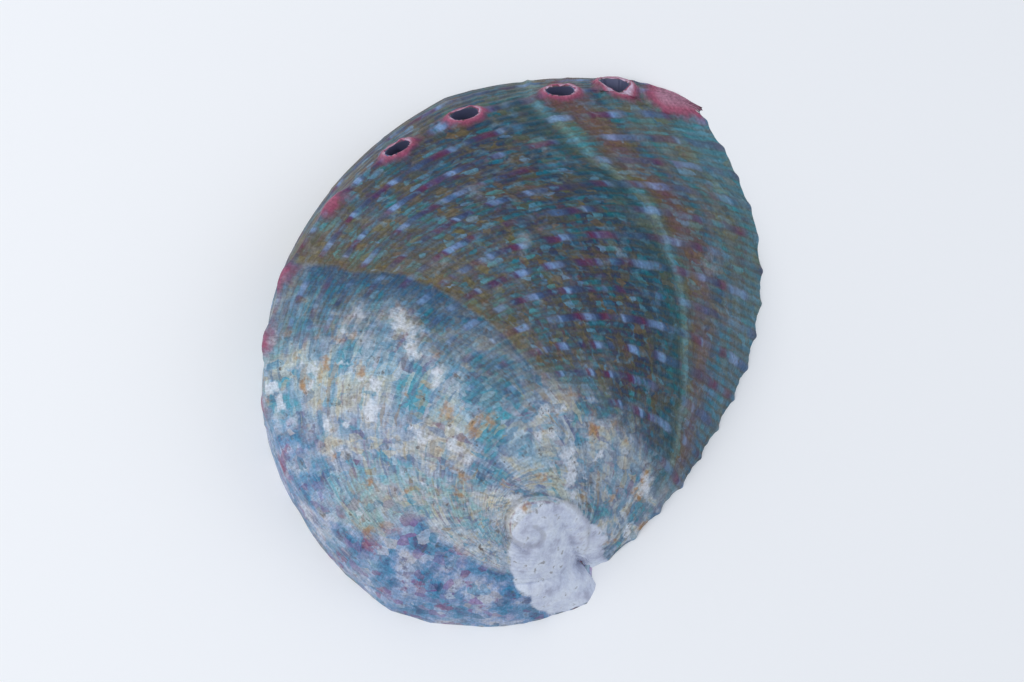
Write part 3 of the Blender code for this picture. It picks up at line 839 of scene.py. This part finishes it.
wornEdge = addNode(tree, "Math", {
    0: wornPatch, 1: 0.9, 2: wornValue}, operation="MULTIPLY_ADD").outputs[0]
wornMask = addNode(tree, "MapRange", {
    "Value": wornEdge, "From Min": 0.50, "From Max": 1.15, "To Max": 0.93}).outputs[0]
base = addNode(tree, "Mix", {0: wornMask, 6: base, 7: wornColour}, data_type="RGBA").outputs[2]
for spread, low, high, most, colour in ((150.0, 0.59, 0.68, 0.70, calcite["ochre"]),
                                        (95.0, 0.60, 0.65, 0.88, calcite["crusts"]),
                                        (380.0, 0.65, 0.70, 0.80, calcite["pits"])):
    spotted = addNode(tree, "TexNoise", {
        "Vector": spot, "Scale": spread, "Detail": 4.0, "Roughness": 0.6}).outputs[0]
    spotted = addNode(tree, "MapRange", {
        "Value": spotted, "From Min": low, "From Max": high, "To Max": most}).outputs[0]
    spotted = addNode(tree, "Math", {0: spotted, 1: wornMask}, operation="MULTIPLY").outputs[0]
    base = addNode(tree, "Mix", {0: spotted, 6: base, 7: colour}, data_type="RGBA").outputs[2]

# Crusts of coralline growth at the back, in cells of about 2 mm, and the bare white spire
crust = addNode(tree, "TexNoise", {
    "Vector": spot, "Scale": 120.0, "Detail": 6.0, "Roughness": 0.68}).outputs[0]
crustColour = setRamp(addNode(tree, "ValToRGB", {0: crust}), calcite["coral"])
cell = addNode(tree, "VectorMath", {
    0: bend, 1: (0.006, 0.006, 0.006)}, operation="MULTIPLY").outputs[0]
cell = addNode(tree, "VectorMath", {0: spot, 1: cell}, operation="ADD").outputs[0]
cell = addNode(tree, "TexVoronoi", {"Vector": cell, "Scale": 430.0}).outputs["Color"]
cell = addNode(tree, "SeparateColor", {0: cell})
cells = setRamp(addNode(tree, "ValToRGB", {0: cell.outputs[0]}), calcite["coralCells"])
cellShow = addNode(tree, "MapRange", {
    "Value": cell.outputs[1], "From Min": 0.35, "From Max": 1.0, "To Max": 0.75}).outputs[0]
crustColour = addNode(tree, "Mix", {
    0: cellShow, 6: crustColour, 7: cells}, data_type="RGBA").outputs[2]
for spread, low, high, colour in calcite["stains"]:
    stain = addNode(tree, "TexNoise", {
        "Vector": spot, "Scale": spread, "Detail": 5.0, "Roughness": 0.7}).outputs[0]
    stain = addNode(tree, "MapRange", {
        "Value": stain, "From Min": low, "From Max": high, "To Max": 0.72}).outputs[0]
    crustColour = addNode(tree, "Mix", {
        0: stain, 6: crustColour, 7: colour}, data_type="RGBA").outputs[2]
crustEdge = addNode(tree, "Math", {0: coralValue, 1: wornPatch}, operation="ADD").outputs[0]
crustMask = addNode(tree, "MapRange", {
    "Value": crustEdge, "From Min": 0.72, "From Max": 1.30, "To Max": 0.86}).outputs[0]
base = addNode(tree, "Mix", {0: crustMask, 6: base, 7: crustColour}, data_type="RGBA").outputs[2]
chalk = addNode(tree, "TexNoise", {
    "Vector": spot, "Scale": 260.0, "Detail": 6.0, "Roughness": 0.6}).outputs[0]
chalkColour = setRamp(addNode(tree, "ValToRGB", {0: chalk}), calcite["bare"])
bareEdge = addNode(tree, "Math", {0: bareValue, 1: chalk}, operation="ADD").outputs[0]
bareMask = addNode(tree, "MapRange", {
    "Value": bareEdge, "From Min": 0.85, "From Max": 1.10, "To Max": 0.94}).outputs[0]
base = addNode(tree, "Mix", {0: bareMask, 6: base, 7: chalkColour}, data_type="RGBA").outputs[2]

# Small borings all over, and dirt in the spiral seam
speck = addNode(tree, "TexNoise", {"Vector": spot, "Scale": 520.0, "Detail": 3.0}).outputs[0]
speck = addNode(tree, "MapRange", {
    "Value": speck, "From Min": 0.64, "From Max": 0.72, "To Max": 0.55}).outputs[0]
base = addNode(tree, "Mix", {0: speck, 6: base, 7: calcite["pits"]}, data_type="RGBA").outputs[2]
seamEdge = addNode(tree, "Math", {
    0: chalk, 1: 1.4, 2: seamValue}, operation="MULTIPLY_ADD").outputs[0]
seamMask = addNode(tree, "MapRange", {
    "Value": seamEdge, "From Min": 1.36, "From Max": 1.90, "To Max": 0.42}).outputs[0]
base = addNode(tree, "Mix", {0: seamMask, 6: base, 7: calcite["pits"]}, data_type="RGBA").outputs[2]

# Pink round the holes
rimColour = setRamp(addNode(tree, "ValToRGB", {0: glowValue}), calcite["rim"])
rimJog = addNode(tree, "TexNoise", {"Vector": spot, "Scale": 320.0, "Detail": 3.0}).outputs[0]
rimEdge = addNode(tree, "Math", {0: glowValue, 1: rimJog}, operation="ADD").outputs[0]
rimMask = addNode(tree, "MapRange", {
    "Value": rimEdge, "From Min": 0.62, "From Max": 1.1, "To Max": 0.92}).outputs[0]
base = addNode(tree, "Mix", {0: rimMask, 6: base, 7: rimColour}, data_type="RGBA").outputs[2]

# Growth lines about 0.7 mm apart and a grain of about 0.7 mm, in tone and in relief, both drawn
# coarser than real so that they show
linePlace = addNode(tree, "Mapping", {"Vector": growth, "Scale": (26.0, 1.1, 1.0)}).outputs[0]
line = addNode(tree, "TexNoise", {
    "Vector": linePlace, "Scale": 1.0, "Detail": 3.0, "Roughness": 0.6}).outputs[0]
grain = addNode(tree, "TexNoise", {
    "Vector": spot, "Scale": 1500.0, "Detail": 3.0, "Roughness": 0.6}).outputs[0]
tone = addNode(tree, "Math", {0: line, 1: 0.62, 2: grain}, operation="MULTIPLY_ADD").outputs[0]
tone = addNode(tree, "MapRange", {
    "Value": tone, "From Min": 0.52, "From Max": 1.08, "To Min": 0.64, "To Max": 1.30}).outputs[0]
toneShow = addNode(tree, "Math", {
    0: bareMask, 1: -0.7, 2: 1.0}, operation="MULTIPLY_ADD").outputs[0]
base = addNode(tree, "Mix", {
    0: toneShow, 6: base, 7: tone}, data_type="RGBA", blend_type="MULTIPLY")
base = addNode(tree, "HueSaturation", {"Color": base.outputs[2], "Saturation": 1.16})
tree.links.new(base.outputs[0], surface.inputs["Base Color"])
cordRelief = addNode(tree, "Math", {
    0: wornMask, 1: -0.42, 2: 0.5}, operation="MULTIPLY_ADD").outputs[0]
relieved = addNode(tree, "Math", {
    0: fineWave, 1: cordRelief, 2: line}, operation="MULTIPLY_ADD").outputs[0]
relieved = addNode(tree, "Math", {
    0: grain, 1: 0.55, 2: relieved}, operation="MULTIPLY_ADD").outputs[0]
reliefShow = addNode(tree, "Math", {0: toneShow, 1: 0.85}, operation="MULTIPLY").outputs[0]
bump = addNode(tree, "Bump", {
    "Strength": reliefShow, "Distance": 0.00022, "Height": relieved}).outputs[0]
tree.links.new(bump, surface.inputs["Normal"])
surface.inputs["Roughness"].default_value = calcite["roughness"]
surface.inputs["Specular IOR Level"].default_value = calcite["specular"]
print("outer material", len(tree.nodes), "nodes")

# Nacre, laid down in thin layers: smooth and pearly, silver crossed by green, rose and blue
nacre = {
    "pearl": ((0.30, "#A9C3C4"), (0.40, "#8FC7B8"), (0.47, "#C9D3D2"), (0.53, "#D9B9CC"),
              (0.59, "#B9C6E2"), (0.66, "#8FB9C9"), (0.74, "#D7D6BE")),
    "scar": ((0.34, "#5E9C8C"), (0.44, "#4F88A8"), (0.52, "#9C86B6"), (0.60, "#C78FA8"),
             (0.68, "#6FB08E")),
    "rim": "#6B6459",
    "roughness": 0.22,
    "metallic": 0.35,
    "coat": 0.4,
    "coatRoughness": 0.12,
}
tree = shellMaterials[1].node_tree
surface = tree.nodes["Principled BSDF"]
spot = addNode(tree, "TexCoord").outputs["Object"]
wave = addNode(tree, "TexNoise", {
    "Vector": spot, "Scale": 38.0, "Detail": 3.0, "Distortion": 1.6}).outputs[0]
pearl = setRamp(addNode(tree, "ValToRGB", {0: wave}), nacre["pearl"])
swirl = addNode(tree, "TexNoise", {
    "Vector": spot, "Scale": 130.0, "Detail": 4.0, "Distortion": 2.2}).outputs[0]
swirls = setRamp(addNode(tree, "ValToRGB", {0: swirl}), nacre["scar"])
scarValue = addNode(tree, "Attribute", attribute_name="scar").outputs["Fac"]
scarShow = addNode(tree, "Math", {0: scarValue, 1: 0.75}, operation="MULTIPLY").outputs[0]
base = addNode(tree, "Mix", {0: scarShow, 6: pearl, 7: swirls}, data_type="RGBA").outputs[2]
ringPlace = addNode(tree, "UVMap", uv_map="growth").outputs[0]
ringPlace = addNode(tree, "SeparateXYZ", {0: ringPlace}).outputs[1]
rimShow = addNode(tree, "MapRange", {
    "Value": ringPlace, "From Min": 0.9, "From Max": 0.25, "To Max": 0.8}).outputs[0]
base = addNode(tree, "Mix", {0: rimShow, 6: base, 7: nacre["rim"]}, data_type="RGBA").outputs[2]
tree.links.new(base, surface.inputs["Base Color"])
surface.inputs["Roughness"].default_value = nacre["roughness"]
surface.inputs["Metallic"].default_value = nacre["metallic"]
surface.inputs["Coat Weight"].default_value = nacre["coat"]
surface.inputs["Coat Roughness"].default_value = nacre["coatRoughness"]
ripple = addNode(tree, "Bump", {"Strength": 0.35, "Distance": 0.0004, "Height": swirl}).outputs[0]
tree.links.new(ripple, surface.inputs["Normal"])

# Cut wall of the holes, where the layers are seen edge on: painted dark blue-grey, which stands in
# for the shade inside the open holes
paintedShadeLining = {"paintedShade": "#565A78", "roughness": 0.6}
surface = shellMaterials[2].node_tree.nodes["Principled BSDF"]
# Painted shade: the walls get a dark blue-grey for the shade inside the holes
surface.inputs["Base Color"].default_value = linear(paintedShadeLining["paintedShade"])
surface.inputs["Roughness"].default_value = paintedShadeLining["roughness"]
print("three materials")

# Floor, lights and camera
studio = {
    "floor": "#F4F5F7",
    "room": "#EEF3FA",
    "distance": 0.43,
    "elevation": 78.0,
    "heading": 123.5,
    "lens": 57.9,
    "world": 0.62,
    "lookAt": (0.0027, -0.0035),
    # Name, place, size, power, tint
    "lights": (("softKey", (-0.55, -0.35, 0.9), 0.7, 5.5, "#FFFFFF"),
               ("softFill", (0.8, 0.5, 0.8), 0.9, 2.0, "#E9F0FF")),
}
bpy.ops.object.select_all(action="DESELECT")
bpy.ops.mesh.primitive_plane_add(size=6.0, location=(0, 0, 0))
floor = bpy.context.object
floor.name = "floor"
floorPaint = bpy.data.materials.new("mattPaper")
floorPaint.use_nodes = True
surface = floorPaint.node_tree.nodes["Principled BSDF"]
surface.inputs["Base Color"].default_value = linear(studio["floor"])
surface.inputs["Roughness"].default_value = 0.9
floor.data.materials.append(floorPaint)

world = bpy.data.worlds.new("softRoom")
bpy.context.scene.world = world
world.use_nodes = True
background = world.node_tree.nodes["Background"]
background.inputs["Color"].default_value = linear(studio["room"])
background.inputs["Strength"].default_value = studio["world"]
for name, place, size, power, tint in studio["lights"]:
    light = bpy.data.lights.new(name, "AREA")
    light.size = size
    light.energy = power
    light.color = linear(tint)[:3]
    lamp = bpy.data.objects.new(name, light)
    bpy.context.collection.objects.link(lamp)
    lamp.location = place
    lamp.rotation_euler = (-Vector(place)).to_track_quat("-Z", "Y").to_euler()

cameraData = bpy.data.cameras.new("camera")
cameraData.lens = studio["lens"]
camera = bpy.data.objects.new("camera", cameraData)
bpy.context.collection.objects.link(camera)
heading = math.radians(studio["heading"])
imageUp = Vector((math.cos(heading), math.sin(heading), 0.0))
tilt = math.radians(studio["elevation"])
back = -imageUp * math.cos(tilt) + Vector((0, 0, math.sin(tilt)))
right = Vector((imageUp.y, -imageUp.x, 0.0))
camera.matrix_world = Matrix((right, back.cross(right), back)).transposed().to_4x4()
camera.location = Vector((*studio["lookAt"], 0.0)) + back * studio["distance"]
bpy.context.scene.camera = camera
bpy.context.scene.view_settings.view_transform = "Standard"
